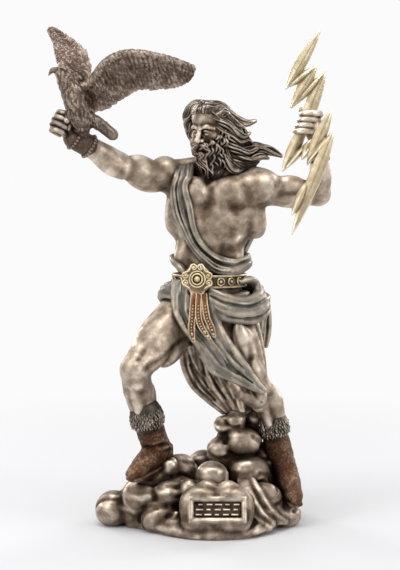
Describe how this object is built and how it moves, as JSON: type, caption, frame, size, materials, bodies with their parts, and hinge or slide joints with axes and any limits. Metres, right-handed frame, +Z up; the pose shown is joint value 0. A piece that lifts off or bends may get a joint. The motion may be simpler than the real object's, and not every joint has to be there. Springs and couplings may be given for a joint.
{
  "type": "zeus statue",
  "caption": "Bronze-look cast figurine of a bearded sky god in a belted loincloth and fur-topped boots, striding on clouds with a thunderbolt and a perched eagle.",
  "frame": {"origin": "middle of the flat underside of the cloud base", "axes": "+Z up, -Y the way the statue looks, +X the viewer's right and so the figure's left"},
  "size_m": [0.1679, 0.0946, 0.2962],
  "materials": {
    "patinated_figure": "bronze-filled resin with a dark brown patina rubbed back to pale bronze",
    "brown_eagle": "bronze-filled resin with a red-brown stippled patina",
    "pale_bolt": "bronze-filled resin polished to a pale gold"
  },
  "bodies": {
    "root": {"figure_on_clouds": "patinated_figure", "eagle": "brown_eagle", "thunderbolt": "pale_bolt"}
  },
  "joints": []
}
